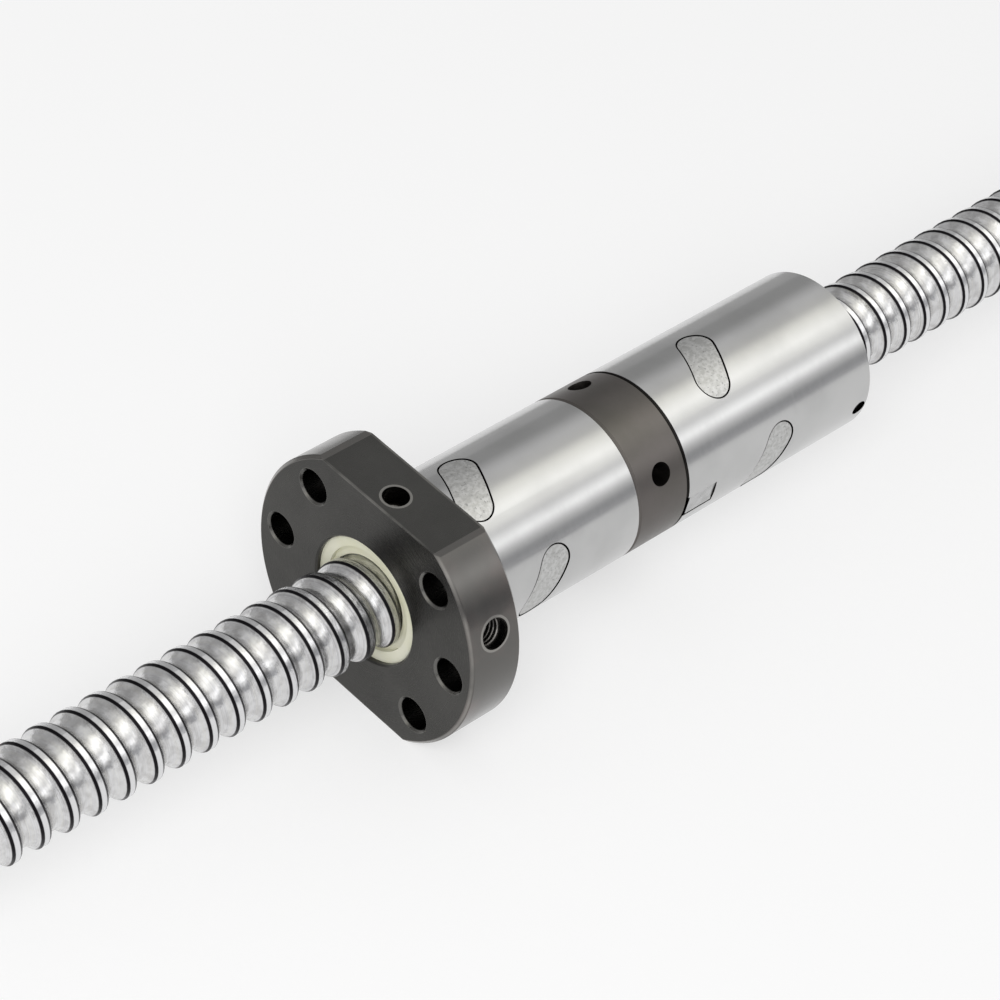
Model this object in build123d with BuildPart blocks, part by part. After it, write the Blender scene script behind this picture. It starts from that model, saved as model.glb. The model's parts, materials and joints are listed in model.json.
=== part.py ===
from build123d import *
from math import cos, pi, radians, sin, sqrt
import os

os.makedirs("parts", exist_ok=True)

# Frame: the origin is the centre of the flange's mounting face, on the screw's axis.
# X runs along the screw towards the plain rear nut, Z is up, square to the flange's flats.

# Thread, right hand: nominal diameter 5/8 inch, lead a fifth of an inch, balls 1/8 inch
lead = 5.08
groove_shift = 0.2
ball_r = 3.175 / 2
ball_circle_r = 8.25
land_r = 7.8
groove_r = ball_r + 0.2
edge_break = 0.25
edge_break_width = 0.38
raceway_r = ball_r + 0.06
bore_r = land_r + 0.35
raceway_break = 0.1
skin_core_r = 1.0

# Shaft
thread_length = 260.0
journal_r = 6.0
journal_length = 15.0
journal_chamfer = 1.0
thread_chamfer = 1.2
centre_hole_r = 1.6
centre_drill_r = 0.8
centre_hole_depth = 4.0

# Front nut with its flange
flange_r = 24.0
flange_t = 10.0
flat_z = 20.0
flange_chamfer = 0.5
bolt_circle_r = 19.0
bolt_hole_r = 2.75
bolt_hole_break = 0.35
barrel_r = 14.0
front_length = 35.6
barrel_chamfer = 0.35
top_port_x = -6.3
top_port_r = 2.1
rim_port_x = -5.0
rim_port_r = 2.5
rim_port_angle = 158.5
port_floor_r = 13.0
port_feed_r = 0.8

# Spacer and rear nut
spacer_length = 10.8
spacer_clear = 0.6
spacer_hole_r = 1.95
spacer_hole_angle = 147.5
rear_length = 43.6
rear_turn = 6.0

# Key in the rear nut's front end
key_width = 4.0
key_length = 6.0
key_height = 3.4
key_gap = 0.8
key_play = 0.3
key_angle = 185.5
key_low = 0.25

# Wiper seats and wipers
seat_r = 10.7
seat_depth = 2.8
seat_break = 0.3
wiper_recess = 0.9
wiper_bore_r = land_r + 0.2
wiper_lip_r = groove_r - 0.25
wiper_mouth_r = 8.8
wiper_mouth_depth = 0.9
rear_seat_depth = 4.0
rear_recess = 0.4
running_clear = 0.08
stop_screw_r = 1.4
stop_screw_back = 1.9
stop_screw_angle = 187.5
stop_screw_low = 0.7
stop_screw_clear = 0.3
stop_socket_r = 0.75
stop_socket_depth = 0.9

# Ball returns: four in each nut, one after another round the barrel
returns = 4
return_angle = 90.0
front_first_turn = 1
rear_first_turn = 11
insert_width = 6.4
insert_span = 13.8
insert_skew = 24.0
insert_low = 0.1
gap_width = 0.3
gap_depth = 0.8
cross_half = 45.0
channel_clear = 0.12
lift_clear = 0.15
balls_per_turn = 16

spacer_x = front_length
rear_x = spacer_x + spacer_length
rear_end = rear_x + rear_length
middle_x = (rear_end - flange_t) / 2
thread_start = middle_x - thread_length / 2
thread_end = middle_x + thread_length / 2
lift = land_r + ball_r + lift_clear - ball_circle_r
step_angle = 90.0
step_x = lead * (1 + step_angle / 360)


def radial_plane(x, angle, radius=0.0):
    """Plane square to a radius at this angle: its x runs along the screw, its z points out."""
    out = Vector(0, cos(radians(angle)), sin(radians(angle)))
    return Plane(origin=Vector(x, 0, 0) + out * radius, x_dir=(1, 0, 0), z_dir=out)


def groove_plane(x):
    """Plane through the axis and the groove's middle at x: its x runs along the screw."""
    at = radians(360 * (x - groove_shift) / lead)
    out = Vector(0, cos(at), sin(at))
    return Plane(origin=(x, 0, 0), x_dir=(1, 0, 0), z_dir=Vector(1, 0, 0).cross(out))


def thread_skin(x_from, x_to, flat_r, curve_r, edge=(0.0, 0.0), outward=False):
    """Surface of a grooved bar, or of the void in a nut where the groove lies outward.

    One turn of the outline is swept round the axis, and its copies are sewn end to end."""
    width, depth = edge
    curve_at = ball_circle_r if outward else flat_r - depth
    half = sqrt(curve_r**2 - (ball_circle_r - curve_at) ** 2)
    tip = ball_circle_r + (curve_r if outward else -curve_r)
    first = x_from - 2 * lead
    low = -half - width
    start = Plane(origin=(first, 0, 0), x_dir=groove_plane(first).y_dir, z_dir=(1, 0, 0))
    turn = (start.location * Helix(lead, lead, flat_r)).edge()
    with BuildPart() as ribbon:
        with BuildSketch(groove_plane(first)):
            with BuildLine():
                ThreePointArc((-half, curve_at), (0, tip), (half, curve_at))
                if width > 0:
                    Line((half, curve_at), (-low, flat_r))
                    Line((low, flat_r), (-half, curve_at))
                Line((-low, flat_r), (lead + low, flat_r))
                Polyline((lead + low, flat_r), (lead + low, skin_core_r), (low, skin_core_r), (low, flat_r))
            make_face()
        sweep(path=turn, is_frenet=True)
    outline = ribbon.faces().filter_by(lambda face: off_axis(face) > (skin_core_r + flat_r) / 2 + 0.5)
    turns = range(int((x_to - x_from) / lead) + 5)
    copies = [face.moved(Location((lead * k, 0, 0))) for k in turns for face in outline]
    return Shell(Face.sew_faces(copies)[0])


def off_axis(face):
    """Distance of a face's middle from the screw's axis, nought for a flat face."""
    middle = face.position_at(0.5, 0.5)
    return 0 if face.geom_type == GeomType.PLANE else sqrt(middle.Y**2 + middle.Z**2)


def split_by(skin, blank, inner):
    """Cut a blank along a thread skin and keep its inner or its outer piece."""
    pieces = ShapeList(blank.split(skin, keep=Keep.ALL)).solids()
    return sorted(pieces, key=lambda piece: piece.bounding_box().size.Y)[0 if inner else -1]


def bar(radius, x_from, x_to, mode=Mode.ADD):
    """Round bar on the screw's axis between two places along it."""
    with BuildSketch(Plane.YZ.offset(x_from)) as section:
        Circle(radius)
    extrude(section.sketch, amount=x_to - x_from, mode=mode)


# Screw: a helical ball groove with broken edges between two plain journals
def make_screw():
    ends = ((thread_start, -1), (thread_end, 1))
    centre_cone = (centre_hole_r - centre_drill_r) * sqrt(3)
    edge = (edge_break_width, edge_break)
    skin = thread_skin(thread_start, thread_end, land_r, groove_r, edge)
    with BuildPart() as blank:
        bar(barrel_r, thread_start, thread_end)
    with BuildPart() as screw:
        add(split_by(skin, blank.part, inner=True))
        with BuildSketch(Plane.XY):
            for end, out in ends:
                with BuildLine():
                    corner = land_r + thread_chamfer
                    Polyline(
                        (end, journal_r),
                        (end + out * thread_chamfer, journal_r),
                        (end + out * thread_chamfer, corner),
                        (end + out * (journal_r - corner), corner),
                        close=True,
                    )
                make_face()
        revolve(axis=Axis.X, mode=Mode.SUBTRACT)
        with BuildSketch(Plane.XY):
            for end, out in ends:
                tip = end + out * journal_length
                with BuildLine():
                    Polyline(
                        (end, 0),
                        (end, journal_r),
                        (tip - out * journal_chamfer, journal_r),
                        (tip, journal_r - journal_chamfer),
                        (tip, centre_hole_r),
                        (tip - out * centre_cone, centre_drill_r),
                        (tip - out * centre_hole_depth, centre_drill_r),
                        (tip - out * centre_hole_depth, 0),
                        close=True,
                    )
                make_face()
        revolve(axis=Axis.X)
    return screw.part


def insert_outline(x, angle, inset=0.0):
    """Skewed slot outline of a ball return, drawn on the screw's axis and facing outwards."""
    with BuildSketch(radial_plane(x, angle, bore_r / 2)) as outline:
        SlotOverall(insert_span - 2 * inset, insert_width - 2 * inset, rotation=90 - insert_skew)
    return outline.sketch


def return_places(first_turn, turn):
    """Middle of each return in a nut, halfway between two turns of the groove: x and angle."""
    first_angle = return_angle + turn
    first_x = groove_shift + lead * (first_turn + 0.5 + first_angle / 360)
    steps = range(returns)
    return [(first_x + k * step_x, first_angle + k * step_angle) for k in steps]


front_returns = return_places(front_first_turn, 0.0)
rear_returns = return_places(rear_first_turn, rear_turn)


# Front nut: ground barrel and black flange, turned from one piece
def make_front_nut():
    with BuildPart() as nut:
        bar(flange_r, -flange_t, 0)
        rims = nut.edges().filter_by(GeomType.CIRCLE)
        chamfer(rims, flange_chamfer)
        bar(barrel_r, 0, front_length)
        ends = nut.edges().filter_by(GeomType.CIRCLE).group_by(Axis.X)[-1]
        chamfer(ends, barrel_chamfer)
        for side in (-1, 1):
            with Locations((-flange_t / 2, 0, side * (flat_z + flange_r / 2))):
                Box(flange_t * 2, flange_r * 2, flange_r, mode=Mode.SUBTRACT)
        face = Plane(origin=(-flange_t, 0, 0), x_dir=(0, 1, 0), z_dir=(-1, 0, 0))
        for start in (-45, 135):
            with BuildSketch(face):
                with PolarLocations(bolt_circle_r, 3, start, 90, endpoint=True):
                    Circle(bolt_hole_r)
            extrude(amount=-flange_t, mode=Mode.SUBTRACT)
        mouths = nut.edges().filter_by(GeomType.CIRCLE)
        mouths = mouths.filter_by(lambda edge: abs(edge.radius - bolt_hole_r) < 1e-6)
        chamfer(mouths, bolt_hole_break)
        ports = (
            (top_port_x, top_port_r, 90, flat_z),
            (rim_port_x, rim_port_r, rim_port_angle, flange_r),
        )
        for x, core, angle, top in ports:
            with BuildSketch(radial_plane(x, angle, top)):
                Circle(core)
            extrude(amount=port_floor_r - top, mode=Mode.SUBTRACT)
            with BuildSketch(radial_plane(x, angle, port_floor_r)):
                Circle(port_feed_r)
            extrude(amount=bore_r / 2 - port_floor_r, mode=Mode.SUBTRACT)
        bar(seat_r, -flange_t, seat_depth - flange_t, mode=Mode.SUBTRACT)
        mouth = nut.edges().filter_by(GeomType.CIRCLE).group_by(Axis.X)[0]
        mouth = mouth.filter_by(lambda edge: abs(edge.radius - seat_r) < 1e-6)
        chamfer(mouth, seat_break)
        edge = (raceway_break, 0.0)
        skin = thread_skin(-flange_t, front_length, bore_r, raceway_r, edge, outward=True)
        add(split_by(skin, nut.part, inner=False), mode=Mode.REPLACE)
        for x, angle in front_returns:
            extrude(insert_outline(x, angle), amount=barrel_r, mode=Mode.SUBTRACT)
    return nut.part


# Spacer ring between the nuts
def make_spacer():
    with BuildPart() as spacer:
        bar(barrel_r, spacer_x, rear_x)
        chamfer(spacer.edges().filter_by(GeomType.CIRCLE), barrel_chamfer)
        bar(bore_r + spacer_clear, spacer_x, rear_x, mode=Mode.SUBTRACT)
        for k in range(4):
            middle = (spacer_x + rear_x) / 2
            with BuildSketch(radial_plane(middle, spacer_hole_angle + 90 * k)):
                Circle(spacer_hole_r)
            extrude(amount=barrel_r * 2, mode=Mode.SUBTRACT)
    return spacer.part


# Rear nut: plain barrel with a keyway in its front end and a wiper seat in its rear end
def make_rear_nut():
    with BuildPart() as nut:
        bar(barrel_r, rear_x, rear_end)
        chamfer(nut.edges().filter_by(GeomType.CIRCLE), barrel_chamfer)
        bar(seat_r, rear_end - rear_seat_depth, rear_end, mode=Mode.SUBTRACT)
        edge = (raceway_break, 0.0)
        skin = thread_skin(rear_x, rear_end, bore_r, raceway_r, edge, outward=True)
        add(split_by(skin, nut.part, inner=False), mode=Mode.REPLACE)
        length = key_gap + key_length
        with BuildSketch(radial_plane(rear_x + length / 2, key_angle, barrel_r - key_height)):
            Rectangle(length, key_width + key_play)
        extrude(amount=barrel_r, mode=Mode.SUBTRACT)
        with BuildSketch(radial_plane(rear_end - stop_screw_back, stop_screw_angle, bore_r)):
            Circle(stop_screw_r)
        extrude(amount=barrel_r, mode=Mode.SUBTRACT)
        for x, angle in rear_returns:
            extrude(insert_outline(x, angle), amount=barrel_r, mode=Mode.SUBTRACT)
    return nut.part


# Ball return: a skewed insert whose inner face leads the balls over the screw's land
def crossing(x, angle, along):
    """Ball centre in a return: along runs from -1 where the balls leave the groove to 1."""
    swing = sin(pi / 2 * max(-1, min(1, along)))
    rise = lift * (1 - min(1, along**2) ** 2) ** 2
    at = angle + along * cross_half
    out = ball_circle_r + rise
    place = x + lead * along * cross_half / 360 - lead / 2 * swing
    return Vector(place, out * cos(radians(at)), out * sin(radians(at)))


def make_return(x, angle):
    with BuildPart() as insert:
        extrude(insert_outline(x, angle), amount=barrel_r)
        bar(barrel_r - gap_depth, x - barrel_r, x + barrel_r, mode=Mode.INTERSECT)
        extrude(insert_outline(x, angle, gap_width), amount=barrel_r)
        bar(barrel_r - insert_low, x - barrel_r, x + barrel_r, mode=Mode.INTERSECT)
        bar(bore_r, x - barrel_r, x + barrel_r, mode=Mode.SUBTRACT)
        with BuildLine() as path:
            Spline(*[crossing(x, angle, k / 5) for k in range(-8, 9)])
        with BuildSketch(Plane(origin=path.line @ 0, z_dir=path.line % 0)):
            Circle(ball_r + channel_clear)
        sweep(path=path.line, is_frenet=True, mode=Mode.SUBTRACT)
    return insert.part


# Balls: one closed circuit for each return, a single turn of the groove and the crossing
def circuit(x, angle):
    """Evenly spaced ball centres round one circuit."""
    fine = 400
    line = [crossing(x, angle, k / fine) for k in range(-fine, fine)]
    for k in range(4 * fine):
        turn = cross_half + (360 - 2 * cross_half) * k / (4 * fine)
        at = radians(angle + turn)
        place = x - lead / 2 + lead * turn / 360
        line.append(Vector(place, ball_circle_r * cos(at), ball_circle_r * sin(at)))
    steps = [(b - a).length for a, b in zip(line, line[1:] + line[:1])]
    spacing = sum(steps) / balls_per_turn
    places, travelled = [], 0.0
    for point, step in zip(line, steps):
        if travelled >= spacing * len(places):
            places.append(point)
        travelled += step
    return places


def make_balls(x, angle):
    with BuildPart() as balls:
        with Locations(*circuit(x, angle)):
            Sphere(ball_r)
    return balls.part


# Key in the rear nut's keyway
def make_key():
    middle = rear_x + key_gap + key_length / 2
    with BuildPart() as key:
        with BuildSketch(radial_plane(middle, key_angle, barrel_r - key_height)):
            Rectangle(key_length, key_width)
        extrude(amount=key_height - key_low)
    return key.part


# Front wiper: a soft ring seated in the flange, open in front of a lip that fills the ball groove
def make_front_wiper():
    x_from, x_to = wiper_recess - flange_t, seat_depth - flange_t
    with BuildPart() as wiper:
        bar(seat_r, x_from, x_to)
        skin = thread_skin(x_from, x_to, wiper_bore_r, wiper_lip_r)
        add(split_by(skin, wiper.part, inner=False), mode=Mode.REPLACE)
        bar(wiper_mouth_r, x_from, x_from + wiper_mouth_depth, mode=Mode.SUBTRACT)
    return wiper.part


# Rear wiper: a plain ring that runs free in the rear nut's seat
def make_rear_wiper():
    x_from = rear_end - rear_seat_depth + running_clear
    with BuildPart() as wiper:
        with BuildSketch(Plane.YZ.offset(x_from)):
            Circle(seat_r - running_clear)
            Circle(wiper_bore_r, mode=Mode.SUBTRACT)
        extrude(amount=rear_end - rear_recess - x_from)
    return wiper.part


# Stop screw over the rear wiper, sunk in the rear nut's barrel
def make_stop_screw():
    low, high = seat_r + stop_screw_clear, barrel_r - stop_screw_low
    x = rear_end - stop_screw_back
    with BuildPart() as screw:
        with BuildSketch(radial_plane(x, stop_screw_angle, low)):
            Circle(stop_screw_r)
        extrude(amount=high - low)
        with BuildSketch(radial_plane(x, stop_screw_angle, high)):
            RegularPolygon(stop_socket_r, 6)
        extrude(amount=-stop_socket_depth, mode=Mode.SUBTRACT)
    return screw.part


pieces = {
    "screw_shaft": make_screw(),
    "flanged_nut": make_front_nut(),
    "spacer_ring": make_spacer(),
    "rear_nut": make_rear_nut(),
    "locking_key": make_key(),
    "front_wiper": make_front_wiper(),
    "rear_wiper": make_rear_wiper(),
    "stop_screw": make_stop_screw(),
}
for side, places in (("front", front_returns), ("rear", rear_returns)):
    for k, (x, angle) in enumerate(places, 1):
        pieces[f"{side}_return_{k}"] = make_return(x, angle)
        pieces[f"{side}_balls_{k}"] = make_balls(x, angle)

for name, piece in pieces.items():
    piece.label = name
    export_step(piece, f"parts/{name}.step")
    box = piece.bounding_box()
    print(name, len(piece.solids()), round(piece.volume, 1), piece.is_valid, box.min, box.max)
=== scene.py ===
# %% [markdown]
# # A ground ball screw with a flanged double nut
#
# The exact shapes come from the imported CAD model, so this lesson is about what CAD leaves out: how ground,
# blackened, browned and sintered steel and soft nylon look, the small threads in the oil ports, and the
# light of a studio table. The model is loaded first and stays where it is. Every later piece is placed by
# reading where a CAD node lies, never by typing its place a second time.

# %% Load the frame
import json
from math import cos, pi, radians, sin

import bmesh
import bpy
from mathutils import Matrix, Vector


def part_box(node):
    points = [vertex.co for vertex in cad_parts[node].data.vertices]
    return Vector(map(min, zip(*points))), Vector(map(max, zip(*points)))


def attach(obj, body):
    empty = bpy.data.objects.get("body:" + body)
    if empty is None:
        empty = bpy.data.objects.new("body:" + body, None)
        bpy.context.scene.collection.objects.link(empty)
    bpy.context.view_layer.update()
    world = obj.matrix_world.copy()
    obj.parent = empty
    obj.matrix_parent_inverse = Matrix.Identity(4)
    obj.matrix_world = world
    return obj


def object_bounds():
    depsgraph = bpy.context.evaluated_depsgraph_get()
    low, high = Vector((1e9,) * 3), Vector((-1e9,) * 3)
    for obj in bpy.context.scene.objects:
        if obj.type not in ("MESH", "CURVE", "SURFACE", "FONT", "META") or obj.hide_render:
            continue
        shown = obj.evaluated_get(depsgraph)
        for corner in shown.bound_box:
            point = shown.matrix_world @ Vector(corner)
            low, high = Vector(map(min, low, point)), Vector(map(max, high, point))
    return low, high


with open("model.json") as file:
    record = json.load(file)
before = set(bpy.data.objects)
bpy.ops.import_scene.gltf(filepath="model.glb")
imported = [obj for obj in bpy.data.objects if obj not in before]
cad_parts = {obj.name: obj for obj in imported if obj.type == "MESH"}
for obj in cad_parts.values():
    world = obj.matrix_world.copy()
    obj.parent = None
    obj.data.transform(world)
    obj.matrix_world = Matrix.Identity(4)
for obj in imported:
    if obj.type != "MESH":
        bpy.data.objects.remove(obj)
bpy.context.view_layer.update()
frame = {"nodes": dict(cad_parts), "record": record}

MM = 0.001

# %% [markdown]
# ## Read the sizes off the frame
#
# A few boxes give all that is needed: the flange's face lies at x = 0, the screw's land radius is half the
# width of its box, and the barrel's radius is half the width of the spacer ring.

# %% Sizes read from the CAD nodes
flange_low, flange_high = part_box("flanged_nut")
rear_low, rear_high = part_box("rear_nut")
FLANGE_FRONT = flange_low[0]
FLANGE_BACK = 0.0
FLANGE_R = flange_high[1]
FLAT_Z = flange_high[2]
WIPER_SEAT_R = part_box("front_wiper")[1][1]
LAND_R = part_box("screw_shaft")[1][1]
BARREL_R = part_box("spacer_ring")[1][1]
print("flange radius", round(FLANGE_R / MM, 2), "barrel radius", round(BARREL_R / MM, 2))
print("land radius", round(LAND_R / MM, 2), "flat at z", round(FLAT_Z / MM, 2))

# %% [markdown]
# ## Shader maths as plain expressions
#
# A procedural finish is mostly arithmetic on positions and noise. Wiring that by hand hides the formula, so
# a small class wraps a socket and turns Python's operators into Math nodes. Any other node comes from one
# method, which takes the node's type, its settings and its inputs.

# %% A small language for shader nodes
class Wire:
    """A socket of a node tree that understands + - * / and comparison."""

    def __init__(self, tree, socket):
        self.tree, self.socket = tree, socket

    def math(self, operation, *others):
        return self.tree.node("ShaderNodeMath", {"operation": operation}, [self, *others])

    def __add__(self, other): return self.math("ADD", other)
    def __radd__(self, other): return self.math("ADD", other)
    def __sub__(self, other): return self.math("SUBTRACT", other)
    def __rsub__(self, other): return self.tree.value(other).math("SUBTRACT", self)
    def __mul__(self, other): return self.math("MULTIPLY", other)
    def __rmul__(self, other): return self.math("MULTIPLY", other)
    def __truediv__(self, other): return self.math("DIVIDE", other)
    def __rtruediv__(self, other): return self.tree.value(other).math("DIVIDE", self)
    def __pow__(self, other): return self.math("POWER", other)
    def __gt__(self, other): return self.math("GREATER_THAN", other)
    def __lt__(self, other): return self.math("LESS_THAN", other)

    def sine(self): return self.math("SINE")
    def size(self): return self.math("ABSOLUTE")
    def highest(self, other): return self.math("MAXIMUM", other)
    def lowest(self, other): return self.math("MINIMUM", other)

    def ramp(self, low, high):
        """0 below low, 1 above high, smooth between."""
        inputs = {"Value": self, "From Min": low, "From Max": high}
        settings = {"interpolation_type": "SMOOTHSTEP", "clamp": True}
        return self.tree.node("ShaderNodeMapRange", settings, inputs)


class Finish:
    """One material under construction: a Principled shader and the nodes that feed it."""

    def __init__(self, name, **constants):
        self.material = bpy.data.materials.new(name)
        self.material.use_nodes = True
        self.nodes = self.material.node_tree.nodes
        self.links = self.material.node_tree.links
        self.shader = self.nodes["Principled BSDF"]
        for socket, number in constants.items():
            self.shader.inputs[socket.replace("_", " ")].default_value = number

    def plug(self, socket, given):
        if isinstance(given, Wire):
            self.links.new(given.socket, socket)
        elif hasattr(given, "__len__") and len(given) == 3 and socket.type == "RGBA":
            socket.default_value = (*given, 1.0)
        else:
            socket.default_value = given

    def node(self, kind, settings=None, inputs=None, output=0):
        made = self.nodes.new(kind)
        for setting, what in (settings or {}).items():
            setattr(made, setting, what)
        pairs = inputs.items() if isinstance(inputs, dict) else enumerate(inputs or [])
        for key, given in pairs:
            self.plug(made.inputs[key], given)
        return Wire(self, made.outputs[output])

    def value(self, number):
        made = self.nodes.new("ShaderNodeValue")
        made.outputs[0].default_value = number
        return Wire(self, made.outputs[0])

    def place(self):
        """Object coordinates, in metres in the row frame."""
        return self.node("ShaderNodeTexCoord", output="Object")

    def split(self, vector):
        made = self.nodes.new("ShaderNodeSeparateXYZ")
        self.links.new(vector.socket, made.inputs[0])
        return [Wire(self, made.outputs[k]) for k in range(3)]

    def join(self, x, y, z):
        return self.node("ShaderNodeCombineXYZ", inputs=[x, y, z])

    def noise(self, vector, scale, detail=2.0, roughness=0.5):
        inputs = {"Vector": vector, "Scale": scale, "Detail": detail, "Roughness": roughness}
        return self.node("ShaderNodeTexNoise", {"noise_dimensions": "3D"}, inputs)

    def mix(self, factor, first, second):
        """Colour mix from first to second."""
        inputs = {0: factor, 6: first, 7: second}
        return self.node("ShaderNodeMix", {"data_type": "RGBA"}, inputs, output=2)

    def bump(self, height, strength, distance):
        inputs = {"Height": height, "Strength": strength, "Distance": distance}
        return self.node("ShaderNodeBump", inputs=inputs)

    def set(self, **feeds):
        for socket, wire in feeds.items():
            self.plug(self.shader.inputs[socket.replace("_", " ")], wire)
        return self.material


print("shader language ready")

# %% [markdown]
# ## Round the axis
#
# Everything on this object was turned or ground between centres, so its marks run round the X axis. A
# finish therefore thinks in three numbers: the place along the screw, the distance from the axis, and the
# angle round it. Noise that is stretched round the axis gives the hair-fine rings of a ground cylinder.

# %% Cylinder coordinates for a finish
def around(finish):
    """x, y, z and the distance from the screw's axis, in metres, at a point of the surface."""
    x, y, z = finish.split(finish.place())
    radius = (y * y + z * z) ** 0.5
    return x, y, z, radius


def grinding(finish, pitch=0.00035, drift=40.0):
    """Fine rings round the axis that fade in and out, from 0 to 1."""
    x, y, z, radius = around(finish)
    stretched = finish.join(x * (1.0 / pitch), y * drift, z * drift)
    return finish.noise(stretched, 1.0, detail=3.0, roughness=0.6)


print("grinding marks ready")

# %% [markdown]
# ## Ground steel
#
# The two barrels are hardened steel, ground to size and wiped with oil. Ground steel is a mirror that has
# been scratched in one direction: metallic, fairly smooth, with rings so fine that they only soften the
# reflection. A little cloudiness in the roughness keeps it from looking like chrome. Walls in the slots below
# the surface are painted nearly black, as painted shade for the dark down there. So is the rear nut's front
# chamfer, in the gap where it closes against the spacer: its start is therefore given as a little before the
# nut.

# %% Ground steel for barrels
GROUND_TINT = (0.53, 0.53, 0.528)
GROUND_CLOUDED = tuple(c * 0.90 for c in GROUND_TINT)
GROUND_ROUGH = 0.18
# Near-black colour for painted shade in slots, gaps and recesses.
RECESS_SHADE = (0.018, 0.017, 0.016)
END_CHAMFER = 0.5 * MM


def sunk(x, radius, start, end):
    """1 on a wall that lies below the barrel's surface, between two places along it, else 0."""
    return (radius < BARREL_R - 0.03 * MM) * (x > start + END_CHAMFER) * (x < end - END_CHAMFER)


def ground_look(steel, start, end):
    """Colour, roughness and rings of ground steel, with painted shade on walls in the slots between two
    places along it.
    """
    x, y, z, radius = around(steel)
    rings = grinding(steel)
    cloud = steel.noise(steel.place(), 90.0, detail=3.0)
    rough = GROUND_ROUGH + (rings - 0.5) * 0.12 + (cloud - 0.5) * 0.08
    colour = steel.mix(cloud.ramp(0.35, 0.75), GROUND_TINT, GROUND_CLOUDED)
    # Walls below the surface are painted nearly black: painted shade in the slots.
    return steel.mix(sunk(x, radius, start, end), colour, RECESS_SHADE), rough, rings


def rear_nut_steel():
    steel = Finish("rear_nut_ground", Metallic=1.0)
    # The painted shade starts a little before the nut, so it covers the front chamfer in the gap against the
    # spacer.
    before_its_chamfer = rear_low[0] - 2 * END_CHAMFER
    colour, rough, rings = ground_look(steel, before_its_chamfer, rear_high[0])
    return steel.set(Base_Color=colour, Roughness=rough, Normal=steel.bump(rings, 0.10, 0.00002))


rear_nut_finish = rear_nut_steel()
print("made", rear_nut_finish.name)

# %% [markdown]
# ## The black flange and its ground barrel, one piece of steel
#
# The front nut is turned from one bar. Its flange was blackened and its barrel was ground bright afterwards,
# so one piece carries two finishes, and the border between them is a place, not an edge. The finish asks how
# far along the screw a point lies. The blackened skin is still metal, only a dark one: it mirrors the room
# at about a quarter of the brightness, with faint turning rings on its face and a brown tinge on its rim. Its
# face and flats are painted darker than its rim, as painted shade for the darker room they mirror. Its
# corners and the mouths of its holes and ports are painted lighter, a painted highlight for the light their
# chamfers catch. Where the holes are is read from the record.

# %% Black and ground steel for the front nut
corner_holes, line_holes = (
    next(m for m in frame["record"]["mounts"] if m["name"] == name)["dims"]
    for name in ("flange_bolts_corners", "flange_bolts_line")
)
HOLE_CIRCLE_R = line_holes["spacing_x_mm"] / 2 * MM
HOLE_R = corner_holes["hole_r_mm"] * MM
ports = [mount for mount in frame["record"]["mounts"] if mount["kind"] == "threaded_hole"]
HALF_FLANGE = (FLANGE_BACK - FLANGE_FRONT) / 2


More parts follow.
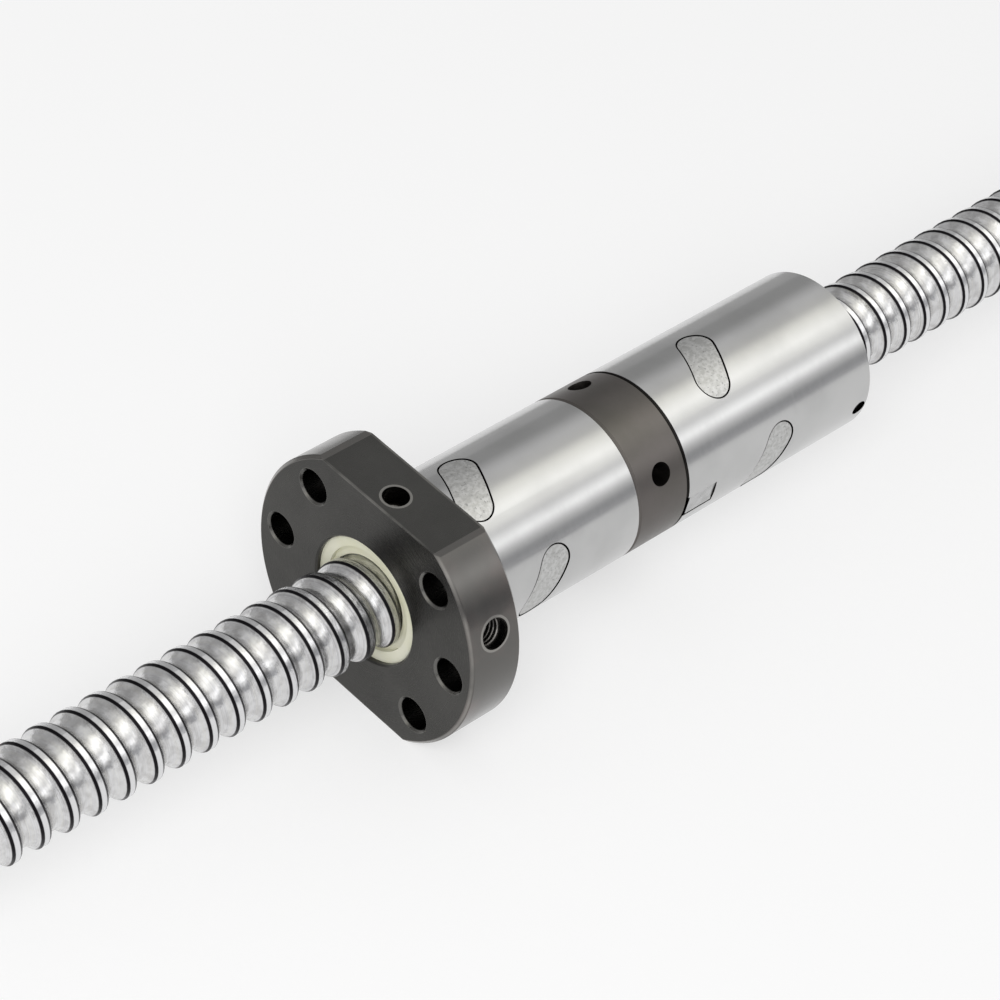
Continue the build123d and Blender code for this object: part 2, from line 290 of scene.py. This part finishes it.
def front_nut_steel():
    steel = Finish("front_nut_black_and_ground", Metallic=1.0)
    x, y, z, radius = around(steel)
    bright, rough_bright, rings = ground_look(steel, FLANGE_BACK, flange_high[0])
    turned = steel.noise(steel.join(x * 500.0, radius * 5200.0, 0.0), 1.0, detail=2.0)
    patches = steel.noise(steel.place(), 55.0, detail=4.0, roughness=0.65)

    black = (x < FLANGE_BACK + 0.02 * MM) * (radius > WIPER_SEAT_R - 0.6 * MM)
    rim = radius > FLANGE_R - 0.6 * MM
    flat = z.size() > FLAT_Z - 0.05 * MM
    brown = rim * patches.ramp(0.40, 0.68)
    near_rim = radius.ramp(FLANGE_R - 0.55 * MM, FLANGE_R - 0.30 * MM)
    from_middle = (x - (FLANGE_FRONT + FLANGE_BACK) * 0.5).size()
    near_face = from_middle.ramp(HALF_FLANGE - 0.45 * MM, HALF_FLANGE - 0.28 * MM)
    near_flat = z.size().ramp(FLAT_Z - 0.20 * MM, FLAT_Z - 0.04 * MM)
    # Corners of the flange are painted lighter: a painted highlight along the small chamfers.
    edge_highlight = near_face * near_rim.highest(near_flat) * patches.ramp(0.30, 0.60)
    # The mouths of the bolt holes get a ring painted lighter: a painted highlight on their chamfers.
    hole = HOLE_CIRCLE_R * cos(pi / 4)
    corner = ((y.size() - hole) ** 2.0 + (z.size() - hole) ** 2.0) ** 0.5
    level = ((y.size() - HOLE_CIRCLE_R) ** 2.0 + z * z) ** 0.5
    mouth = corner.lowest(level)
    mouth = (mouth > HOLE_R + 0.05 * MM) * (mouth < HOLE_R + 0.40 * MM)
    # The mouths of the oil ports get a ring painted lighter: a painted highlight on their chamfers.
    port_lip_highlight = steel.value(0.0)
    for port in ports:
        place, out = port["pos_m"], Vector(port["axis"]).normalized()
        sides = [x - place[0], y - place[1], z - place[2]]
        depth = sides[0] * out[0] + sides[1] * out[1] + sides[2] * out[2]
        reach = (sides[0] ** 2.0 + sides[1] ** 2.0 + sides[2] ** 2.0 - depth * depth) ** 0.5
        edge = port["dims"]["r_mm"] * MM
        port_lip_highlight = port_lip_highlight.highest((reach > edge + 0.03 * MM) * (reach < edge + 0.42 * MM) * (depth > 0.0))

    # The face and the flats are painted darker than the rim: painted shade for the darker room they mirror.
    # The brown on the rim is the skin's own tinge.
    face_black_painted_shade = steel.mix(patches.ramp(0.30, 0.75), (0.054, 0.053, 0.050), (0.074, 0.072, 0.068))
    flat_black_painted_shade = steel.mix(patches.ramp(0.30, 0.75), (0.070, 0.069, 0.066), (0.088, 0.087, 0.083))
    rim_black = steel.mix(brown * 0.7, (0.128, 0.124, 0.118), (0.180, 0.152, 0.144))
    dark = steel.mix(rim, steel.mix(flat, face_black_painted_shade, flat_black_painted_shade), rim_black)
    dark = steel.mix(edge_highlight * 0.55, dark, (0.34, 0.33, 0.31))
    dark = steel.mix(mouth * 0.6, dark, (0.20, 0.195, 0.185))
    dark = steel.mix(port_lip_highlight * 0.6, dark, (0.36, 0.35, 0.33))
    rough_black = 0.28 - rim * 0.08 + (turned - 0.5) * 0.14 + (patches - 0.5) * 0.12
    return steel.set(
        Base_Color=steel.mix(black, bright, dark),
        Roughness=rough_bright + (rough_black - rough_bright) * black,
        Normal=steel.bump(rings + (turned - rings) * black, 0.12, 0.00002),
    )


front_nut_finish = front_nut_steel()
print("made", front_nut_finish.name)

# %% [markdown]
# ## The browned spacer
#
# The ring between the two nuts sets the play out of the pair. It is a plain turned ring, heat-tinted to a
# dull grey brown, much rougher than the ground barrels on either side, so it shows almost no bright lines.

# %% Browned steel for the spacer
def browned_steel():
    steel = Finish("spacer_browned", Metallic=1.0)
    patches = steel.noise(steel.place(), 70.0, detail=4.0, roughness=0.6)
    grain = steel.noise(steel.place(), 900.0, detail=2.0)
    rings = grinding(steel, pitch=0.00022, drift=60.0)
    colour = steel.mix(patches.ramp(0.3, 0.7), (0.114, 0.108, 0.098), (0.140, 0.128, 0.122))
    rough = 0.36 + (patches - 0.5) * 0.14 + (rings - 0.5) * 0.12
    relief = steel.bump(rings * 0.6 + grain * 0.4, 0.18, 0.00002)
    return steel.set(Base_Color=colour, Roughness=rough, Normal=relief)


spacer_finish = browned_steel()
print("made", spacer_finish.name)

# %% [markdown]
# ## Cast returns
#
# The ball returns are small castings pressed into the nut. Their faces are left as they come out of the
# mould: light grey, slightly pebbled, with tiny dark pits. Two scales of noise do it, a soft one for the
# pebbling and a fine one, cut off high, for the pits.

# %% Cast metal for the ball returns
def cast_metal():
    metal = Finish("return_cast", Metallic=1.0)
    pebbles = metal.noise(metal.place(), 1500.0, detail=3.0, roughness=0.55)
    pits = metal.noise(metal.place(), 2600.0, detail=2.0).ramp(0.60, 0.70)
    colour = metal.mix(pebbles.ramp(0.35, 0.65), (0.46, 0.46, 0.45), (0.58, 0.58, 0.575))
    colour = metal.mix(pits * 0.6, colour, (0.20, 0.20, 0.20))
    x, y, z, radius = around(metal)
    # Walls of the insert below the barrel's surface are painted nearly black: painted shade in the gap round
    # the return.
    colour = metal.mix(radius < BARREL_R - 0.16 * MM, colour, RECESS_SHADE)
    relief = metal.bump(pebbles - pits * 0.8, 0.5, 0.00006)
    rough = 0.42 + (pebbles - 0.5) * 0.2
    return metal.set(Base_Color=colour, Roughness=rough, Normal=relief)


return_finish = cast_metal()
print("made", return_finish.name)

# %% [markdown]
# ## Nylon wipers
#
# A wiper is a soft nylon ring that keeps dirt out. Moulded nylon is cream, slightly uneven in thickness and
# so in tone, with a satin skin. Its mould marks are long shallow waves rather than scratches.

# %% Nylon for the wipers
def nylon():
    plastic = Finish("wiper_nylon")
    tone = plastic.noise(plastic.place(), 180.0, detail=3.0)
    grain = plastic.noise(plastic.place(), 1400.0, detail=2.0)
    colour = plastic.mix(tone.ramp(0.3, 0.7), (0.95, 0.94, 0.77), (0.90, 0.89, 0.67))
    relief = plastic.bump(tone * 0.7 + grain * 0.3, 0.25, 0.00008)
    return plastic.set(Base_Color=colour, Roughness=0.38 + (grain - 0.5) * 0.2, Normal=relief)


nylon_finish = nylon()
print("made", nylon_finish.name)

# %% [markdown]
# ## The screw's ground thread
#
# The ball groove is ground and polished after hardening, and the wheel leaves slow waves along it that break
# a reflection into bright and dull patches. The sharp edges between groove and land are broken by hand; a
# thin near-black line painted along them is painted shade for the dark these edges mirror. To find that line
# anywhere, the finish works out how far a point lies from the middle of the groove, counted along the screw.
# The groove turns with the angle round the axis, so the cosine of that difference has no seam where the angle
# starts again.

# %% Polished steel for the screw
JOURNAL_R = next(m for m in frame["record"]["mounts"] if m["name"] == "front_journal")["dims"]["r_mm"] * MM
LEAD = 5.08 * MM
GROOVE_SHIFT = 0.2 * MM
GROOVE_HALF = 1.64 * MM
EDGE_WIDTH = 0.54 * MM


def screw_steel():
    steel = Finish("screw_polished", Metallic=1.0)
    x, y, z, radius = around(steel)
    turn = (x - GROOVE_SHIFT) * (2 * pi / LEAD)
    along = (turn.math("COSINE") * y + turn.sine() * z) / radius
    across = (turn.sine() * y - turn.math("COSINE") * z) / radius
    offset = along.lowest(1.0).highest(-1.0).math("ARCCOSINE") * (LEAD / (2 * pi))

    lines = steel.noise(steel.join(along * 26.0, across * 26.0, x * 30.0), 1.0, detail=3.0, roughness=0.6)
    waves = steel.noise(steel.join(x * 900.0, y * 520.0, z * 520.0), 1.0, detail=2.0)
    # A thin near-black line along the groove edges: painted shade for the dark these edges mirror.
    groove_edge_painted_shade = offset.ramp(GROOVE_HALF - 0.06 * MM, GROOVE_HALF + 0.04 * MM)
    groove_edge_painted_shade = groove_edge_painted_shade * (1.0 - offset.ramp(GROOVE_HALF + 0.38 * MM, GROOVE_HALF + EDGE_WIDTH))
    groove_edge_painted_shade = groove_edge_painted_shade * (radius > LAND_R - 1.2 * MM)
    threaded = radius > JOURNAL_R + 0.05 * MM
    colour = steel.mix(waves.ramp(0.35, 0.7), (0.70, 0.70, 0.71), (0.56, 0.555, 0.56))
    colour = steel.mix(lines.ramp(0.52, 0.68) * threaded * 0.55, colour, (0.30, 0.295, 0.30))
    colour = steel.mix(lines.ramp(0.48, 0.30) * threaded * 0.5, colour, (0.72, 0.70, 0.58))
    colour = steel.mix((offset > GROOVE_HALF) * threaded, colour, (0.72, 0.72, 0.73))
    colour = steel.mix(groove_edge_painted_shade, colour, (0.013, 0.012, 0.014))
    rough = 0.14 + (lines - 0.5) * 0.14 + waves.ramp(0.45, 0.75) * 0.12 + groove_edge_painted_shade * 0.15
    relief = steel.bump(waves, 0.55, 0.00016)
    relief = steel.node("ShaderNodeBump", inputs={"Height": lines, "Strength": 0.45,
                                                  "Distance": 0.00004, "Normal": relief})
    return steel.set(Base_Color=colour, Roughness=rough, Normal=relief)


screw_finish = screw_steel()
print("made", screw_finish.name, "lead", round(LEAD / MM, 3), "mm")

# %% [markdown]
# ## Small parts
#
# The balls are lapped like mirrors. The key and the stop screw are small and mostly hidden, but they still
# get their own steel: the key is surface-ground along its length, the stop screw is blackened.

# %% Steel for balls, key and stop screw
def small_steel(name, light, dark, roughness, scale, surface_r=0.0):
    """Plain steel with fine grain; whatever lies closer to the axis than surface_r is painted nearly black,
    as painted shade.
    """
    steel = Finish(name, Metallic=1.0)
    x, y, z, radius = around(steel)
    grain = steel.noise(steel.place(), scale, detail=3.0)
    colour = steel.mix(grain.ramp(0.35, 0.7), light, dark)
    colour = steel.mix(radius < surface_r, colour, RECESS_SHADE)
    rough = roughness + (grain - 0.5) * roughness * 0.6
    return steel.set(Base_Color=colour, Roughness=rough, Normal=steel.bump(grain, 0.15, 0.00002))


ball_finish = small_steel("ball_lapped", (0.82, 0.82, 0.83), (0.74, 0.74, 0.75), 0.07, 400.0)
# The key's sides below the barrel's surface are painted nearly black: painted shade in the keyway.
KEY_SIDE_R = BARREL_R - 0.30 * MM
key_finish = small_steel("key_ground", (0.50, 0.50, 0.50), (0.42, 0.42, 0.42), 0.26, 600.0, KEY_SIDE_R)
black_finish = small_steel("stop_screw_black", (0.040, 0.040, 0.042), (0.022, 0.022, 0.023), 0.35, 1200.0)
port_finish = small_steel("port_thread_dark", (0.24, 0.23, 0.22), (0.13, 0.125, 0.12), 0.30, 1100.0)
print("made", ball_finish.name, key_finish.name, black_finish.name, port_finish.name)

# %% [markdown]
# ## Dress the CAD nodes
#
# Every node keeps its exact shape and only changes its material. The finish is chosen by the start of the
# node's name, so four returns or eight rows of balls need one line.

# %% Give each node its finish
FINISHES = [
    ("screw_shaft", screw_finish),
    ("flanged_nut", front_nut_finish),
    ("rear_nut", rear_nut_finish),
    ("spacer_ring", spacer_finish),
    ("front_return", return_finish),
    ("rear_return", return_finish),
    ("front_balls", ball_finish),
    ("rear_balls", ball_finish),
    ("front_wiper", nylon_finish),
    ("rear_wiper", nylon_finish),
    ("locking_key", key_finish),
    ("stop_screw", black_finish),
]
for node_name, node in sorted(frame["nodes"].items()):
    finish = next(made for start, made in FINISHES if node_name.startswith(start))
    for place in node.material_slots:
        place.material = finish
    print(f"{node_name:15s} {finish.name}")

# %% [markdown]
# ## Threads in the oil ports
#
# Two holes lead oil through the flange, one in the upper flat and one in the rim. Both are tapped. A thread
# follows a rule, so Geometry Nodes draw it: a spiral for the path and a small triangle carried along it.
# The path's normals are set to stay square to the hole's axis, so the triangle always points inwards. The
# tree has its sizes as named inputs, and ends in a plain mesh with its own finish.

# %% Build the thread with Geometry Nodes
def thread_tree():
    tree = bpy.data.node_groups.new("port_thread", "GeometryNodeTree")
    sockets = {}
    for label, size in (("Hole Radius", 2.5 * MM), ("Pitch", 1.0 * MM), ("Ridge", 0.42 * MM), ("Turns", 6.0)):
        socket = tree.interface.new_socket(label, in_out="INPUT", socket_type="NodeSocketFloat")
        socket.default_value = size
        sockets[label] = socket.identifier
    tree.interface.new_socket("Geometry", in_out="OUTPUT", socket_type="NodeSocketGeometry")
    nodes, links = tree.nodes, tree.links
    given = nodes.new("NodeGroupInput")

    def maths(operation, first, second):
        made = nodes.new("ShaderNodeMath")
        made.operation = operation
        for socket, value in zip(made.inputs, (first, second)):
            if isinstance(value, (int, float)):
                socket.default_value = value
            else:
                links.new(value, socket)
        return made.outputs[0]

    def at(x, y, z):
        made = nodes.new("ShaderNodeCombineXYZ")
        for socket, value in zip(made.inputs, (x, y, z)):
            if isinstance(value, (int, float)):
                socket.default_value = value
            else:
                links.new(value, socket)
        return made.outputs[0]

    radius, pitch, ridge, turns = (given.outputs[k] for k in range(4))
    spiral = nodes.new("GeometryNodeCurveSpiral")
    spiral.inputs["Resolution"].default_value = 28
    links.new(turns, spiral.inputs["Rotations"])
    links.new(radius, spiral.inputs["Start Radius"])
    links.new(radius, spiral.inputs["End Radius"])
    links.new(maths("MULTIPLY", turns, pitch), spiral.inputs["Height"])
    upright = nodes.new("GeometryNodeSetCurveNormal")
    upright.mode = "Z_UP"
    links.new(spiral.outputs[0], upright.inputs["Curve"])
    profile = nodes.new("GeometryNodeCurvePrimitiveQuadrilateral")
    profile.mode = "POINTS"
    half = maths("MULTIPLY", pitch, 0.44)
    root = maths("MULTIPLY", ridge, -0.2)
    links.new(at(root, maths("MULTIPLY", half, -1.0), 0.0), profile.inputs["Point 1"])
    links.new(at(ridge, maths("MULTIPLY", half, -0.25), 0.0), profile.inputs["Point 2"])
    links.new(at(ridge, maths("MULTIPLY", half, 0.25), 0.0), profile.inputs["Point 3"])
    links.new(at(root, half, 0.0), profile.inputs["Point 4"])
    swept = nodes.new("GeometryNodeCurveToMesh")
    swept.inputs["Fill Caps"].default_value = True
    links.new(upright.outputs[0], swept.inputs["Curve"])
    links.new(profile.outputs[0], swept.inputs["Profile Curve"])
    real = nodes.new("GeometryNodeRealizeInstances")
    links.new(swept.outputs[0], real.inputs[0])
    dressed = nodes.new("GeometryNodeSetMaterial")
    dressed.inputs["Material"].default_value = port_finish
    links.new(real.outputs[0], dressed.inputs["Geometry"])
    leave = nodes.new("NodeGroupOutput")
    links.new(dressed.outputs[0], leave.inputs[0])
    return tree, sockets


port_tree, port_sockets = thread_tree()
print("thread tree with inputs", list(port_sockets))

# %% [markdown]
# The tree makes one thread at the world's centre, standing on its end. Each port then gets a copy, turned so
# that its axis points out through the hole. The copies are joined into one piece that rides on the nut.

# %% Run the tree once for each port
PORT_PITCH = 0.8 * MM
PLAIN_MOUTH = {"top_oil_port": 3.0 * MM, "rim_oil_port": 0.5 * MM}


def plain_mesh(name, settings):
    """Evaluate the thread tree with these sizes and return an ordinary mesh."""
    carrier = bpy.data.objects.new(name, bpy.data.meshes.new(name))
    bpy.context.scene.collection.objects.link(carrier)
    modifier = carrier.modifiers.new("thread", "NODES")
    modifier.node_group = port_tree
    for label, size in settings.items():
        modifier[port_sockets[label]] = size
    seen = carrier.evaluated_get(bpy.context.evaluated_depsgraph_get())
    mesh = bpy.data.meshes.new_from_object(seen)
    bpy.data.objects.remove(carrier)
    return mesh


whole = bmesh.new()
for port in ports:
    core, length = port["dims"]["r_mm"] * MM, port["dims"]["length_mm"] * MM
    mouth = PLAIN_MOUTH[port["name"]]
    turns = (length - mouth) / PORT_PITCH - 1.0
    sizes = {"Hole Radius": core, "Pitch": PORT_PITCH, "Ridge": 0.36 * MM, "Turns": turns}
    thread = plain_mesh(port["name"], sizes)
    out = Vector(port["axis"]).normalized()
    middle = Vector(port["pos_m"])
    turn = out.to_track_quat("Z", "Y").to_matrix().to_4x4()
    foot = Matrix.Translation((0, 0, (PORT_PITCH - length) / 2))
    thread.transform(Matrix.Translation(middle) @ turn @ foot)
    whole.from_mesh(thread)
    print(port["name"], len(thread.polygons), "faces,", round(turns, 1), "turns")
bmesh.ops.recalc_face_normals(whole, faces=whole.faces)
joined = bpy.data.meshes.new("oil_port_threads")
whole.to_mesh(joined)
whole.free()
joined.materials.append(port_finish)
port_threads = bpy.data.objects.new("oil_port_threads", joined)
bpy.context.scene.collection.objects.link(port_threads)
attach(port_threads, "nut")
print("oil_port_threads", len(joined.polygons), "faces")

# %% [markdown]
# ## Floor
#
# The floor is a pale table top. Half of its brightness is its own colour under the lamps, so it keeps a
# soft shadow, and the rest is added only for rays that look at it from the camera or in a reflection.

# %% Pale floor
def floor_material():
    made = bpy.data.materials.new("pale_floor")
    made.use_nodes = True
    nodes, links = made.node_tree.nodes, made.node_tree.links
    nodes.clear()
    paint = nodes.new("ShaderNodeBsdfDiffuse")
    paint.inputs["Color"].default_value = (0.50, 0.50, 0.50, 1)
    glow = nodes.new("ShaderNodeEmission")
    rays = nodes.new("ShaderNodeLightPath")
    seen = nodes.new("ShaderNodeMath")
    seen.operation = "MAXIMUM"
    links.new(rays.outputs["Is Camera Ray"], seen.inputs[0])
    links.new(rays.outputs["Is Glossy Ray"], seen.inputs[1])
    glass = nodes.new("ShaderNodeMath")
    glass.operation = "MAXIMUM"
    links.new(seen.outputs[0], glass.inputs[0])
    links.new(rays.outputs["Is Transmission Ray"], glass.inputs[1])
    level = nodes.new("ShaderNodeMath")
    level.operation = "MULTIPLY"
    level.inputs[1].default_value = 0.52
    links.new(glass.outputs[0], level.inputs[0])
    links.new(level.outputs[0], glow.inputs["Strength"])
    both = nodes.new("ShaderNodeAddShader")
    links.new(paint.outputs[0], both.inputs[0])
    links.new(glow.outputs[0], both.inputs[1])
    leave = nodes.new("ShaderNodeOutputMaterial")
    links.new(both.outputs[0], leave.inputs[0])
    return made


floor_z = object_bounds()[0][2]
FLOOR_HALF = 4.0
corners = [(x * FLOOR_HALF, y * FLOOR_HALF) for x, y in ((-1, -1), (1, -1), (1, 1), (-1, 1))]
floor_mesh = bpy.data.meshes.new("floor")
floor_mesh.from_pydata([(x, y, floor_z) for x, y in corners], [], [(0, 1, 2, 3)])
floor_mesh.materials.append(floor_material())
floor = bpy.data.objects.new("floor", floor_mesh)
bpy.context.scene.collection.objects.link(floor)
print("floor at z", round(floor_z / MM, 2), "mm")

# %% [markdown]
# ## A light tent
#
# Polished steel shows the room, so the room has to be designed. A half-round tent of white cloth stands over
# the screw, with strips that are lit more or less. It is seen in reflections only. Each strip below has an
# angle up from the far horizon, round the screw's axis, the brightness of the cloth there, and how warm its
# light is. A low grey card stands close behind the object, because the table doesn't go on for ever.

# %% The tent and its lit strips
STRIPS = [(-10, 0.54, 0), (0, 0.48, 0), (16, 0.40, 0), (38, 0.41, 0), (58, 0.75, 0), (76, 0.77, 1),
          (88, 1.30, 2), (108, 1.75, 1), (121, 1.33, 1), (131, 0.97, 0), (145, 1.80, 0), (156, 0.90, 0),
          (168, 0.40, -1), (179, 0.52, -1), (190, 0.90, -1)]
TENT_R = 1.1
TENT_HALF = 2.6


def tent_material():
    made = bpy.data.materials.new("tent_cloth")
    made.use_nodes = True
    nodes, links = made.node_tree.nodes, made.node_tree.links
    nodes.clear()
    where = nodes.new("ShaderNodeTexCoord")
    parts = nodes.new("ShaderNodeSeparateXYZ")
    links.new(where.outputs["Object"], parts.inputs[0])
    angle = nodes.new("ShaderNodeMath")
    angle.operation = "ARCTAN2"
    links.new(parts.outputs[2], angle.inputs[0])
    links.new(parts.outputs[1], angle.inputs[1])
    scaled = nodes.new("ShaderNodeMapRange")
    scaled.inputs["From Min"].default_value = radians(STRIPS[0][0])
    scaled.inputs["From Max"].default_value = radians(STRIPS[-1][0])
    links.new(angle.outputs[0], scaled.inputs["Value"])
    ramp = nodes.new("ShaderNodeValToRGB")
    span = STRIPS[-1][0] - STRIPS[0][0]
    while len(ramp.color_ramp.elements) < len(STRIPS):
        ramp.color_ramp.elements.new(0.5)
    for stop, (degrees, level, warmth) in zip(ramp.color_ramp.elements, STRIPS):
        stop.position = (degrees - STRIPS[0][0]) / span
        stop.color = (level * 0.5, level * 0.5 * (1 - 0.005 * warmth), level * 0.5 * (1 - 0.035 * warmth), 1)
    links.new(scaled.outputs[0], ramp.inputs[0])
    glow = nodes.new("ShaderNodeEmission")
    glow.inputs["Strength"].default_value = 2.0
    links.new(ramp.outputs[0], glow.inputs["Color"])
    leave = nodes.new("ShaderNodeOutputMaterial")
    links.new(glow.outputs[0], leave.inputs[0])
    return made


tent_points, tent_faces = [], []
TENT_STEPS = 48
for k in range(TENT_STEPS + 1):
    turn = pi * k / TENT_STEPS
    for x in (-TENT_HALF, TENT_HALF):
        tent_points.append((x, TENT_R * cos(turn), max(floor_z + 0.001, TENT_R * sin(turn))))
for k in range(TENT_STEPS):
    tent_faces.append((2 * k, 2 * k + 1, 2 * k + 3, 2 * k + 2))
tent_mesh = bpy.data.meshes.new("tent")
tent_mesh.from_pydata(tent_points, [], tent_faces)
tent_mesh.materials.append(tent_material())
tent = bpy.data.objects.new("tent", tent_mesh)
bpy.context.scene.collection.objects.link(tent)

CARD_Y = 0.12
CARD_TOP = 0.04
CARD_LEVEL = 0.50
card_mesh = bpy.data.meshes.new("card")
card_low = floor_z + 0.001
card_outline = [(-TENT_HALF, card_low), (TENT_HALF, card_low), (TENT_HALF, CARD_TOP), (-TENT_HALF, CARD_TOP)]
card_points = [(x, CARD_Y, z) for x, z in card_outline]
card_mesh.from_pydata(card_points, [], [(0, 1, 2, 3)])
card_paint = bpy.data.materials.new("grey_card")
card_paint.use_nodes = True
card_glow = card_paint.node_tree.nodes.new("ShaderNodeEmission")
card_glow.inputs["Color"].default_value = (CARD_LEVEL, CARD_LEVEL, CARD_LEVEL, 1)
card_paint.node_tree.links.new(card_glow.outputs[0], card_paint.node_tree.nodes["Material Output"].inputs[0])
card_mesh.materials.append(card_paint)
card = bpy.data.objects.new("card", card_mesh)
bpy.context.scene.collection.objects.link(card)
for piece in (tent, card):
    for ray in ("camera", "diffuse", "transmission", "volume_scatter", "shadow"):
        setattr(piece, "visible_" + ray, False)
print("tent with", len(STRIPS), "strips, and a card", CARD_Y, "m behind")

# %% [markdown]
# ## Lamp and sky
#
# Soft light for everything that isn't polished: a broad lamp up and to the left, and an even sky. Together
# they bring a white card on the floor to about its own colour. The lamp is left out of reflections, because
# the tent already stands there.

# %% Lamp and sky
lamp_data = bpy.data.lights.new("soft_lamp", "AREA")
lamp_data.shape = "SQUARE"
lamp_data.size = 0.9
lamp_data.energy = 10.0
lamp = bpy.data.objects.new("soft_lamp", lamp_data)
lamp.location = (-0.75, -0.55, 0.85)
lamp.rotation_euler = Vector((0.75 + 0.04, 0.55, -0.85)).to_track_quat("-Z", "Y").to_euler()
lamp.visible_glossy = False
bpy.context.scene.collection.objects.link(lamp)

world = bpy.data.worlds.new("studio")
bpy.context.scene.world = world
world.use_nodes = True
sky_nodes, sky_links = world.node_tree.nodes, world.node_tree.links
sky_nodes.clear()
SKY_LEVEL = 0.62
lit = sky_nodes.new("ShaderNodeBackground")
lit.inputs["Strength"].default_value = SKY_LEVEL
shown = sky_nodes.new("ShaderNodeBackground")
shown.inputs["Strength"].default_value = 1.0
rays = sky_nodes.new("ShaderNodeLightPath")
first = sky_nodes.new("ShaderNodeMath")
first.operation = "MAXIMUM"
sky_links.new(rays.outputs["Is Camera Ray"], first.inputs[0])
sky_links.new(rays.outputs["Is Glossy Ray"], first.inputs[1])
second = sky_nodes.new("ShaderNodeMath")
second.operation = "MAXIMUM"
sky_links.new(first.outputs[0], second.inputs[0])
sky_links.new(rays.outputs["Is Transmission Ray"], second.inputs[1])
choice = sky_nodes.new("ShaderNodeMixShader")
sky_links.new(second.outputs[0], choice.inputs[0])
sky_links.new(lit.outputs[0], choice.inputs[1])
sky_links.new(shown.outputs[0], choice.inputs[2])
leave = sky_nodes.new("ShaderNodeOutputWorld")
sky_links.new(choice.outputs[0], leave.inputs[0])
bpy.context.scene.view_settings.view_transform = "Standard"
print("lamp", lamp_data.energy, "W, sky", SKY_LEVEL)

# %% [markdown]
# ## Camera
#
# A long lens looks down on the front left of the nut. The camera is tipped round its own axis as well, which
# is why the screw climbs so steeply to the right.

# %% Camera
CAMERA_PLACE = Vector((-283.751, -247.505, 371.955)) * MM
CAMERA_AZIMUTH, CAMERA_ELEVATION, CAMERA_ROLL = -50.604, 43.198, 10.457
camera_data = bpy.data.cameras.new("camera")
camera_data.sensor_width = 36.0
camera_data.lens = 124.99
camera_data.clip_start = 0.01
camera = bpy.data.objects.new("camera", camera_data)
aim = Matrix.Rotation(radians(CAMERA_AZIMUTH), 4, "Z")
aim = aim @ Matrix.Rotation(radians(90.0 - CAMERA_ELEVATION), 4, "X")
aim = aim @ Matrix.Rotation(radians(CAMERA_ROLL), 4, "Z")
camera.matrix_world = Matrix.Translation(CAMERA_PLACE) @ aim
bpy.context.scene.collection.objects.link(camera)
bpy.context.scene.camera = camera
print("camera at", [round(v / MM, 1) for v in CAMERA_PLACE], "mm, lens", camera_data.lens)
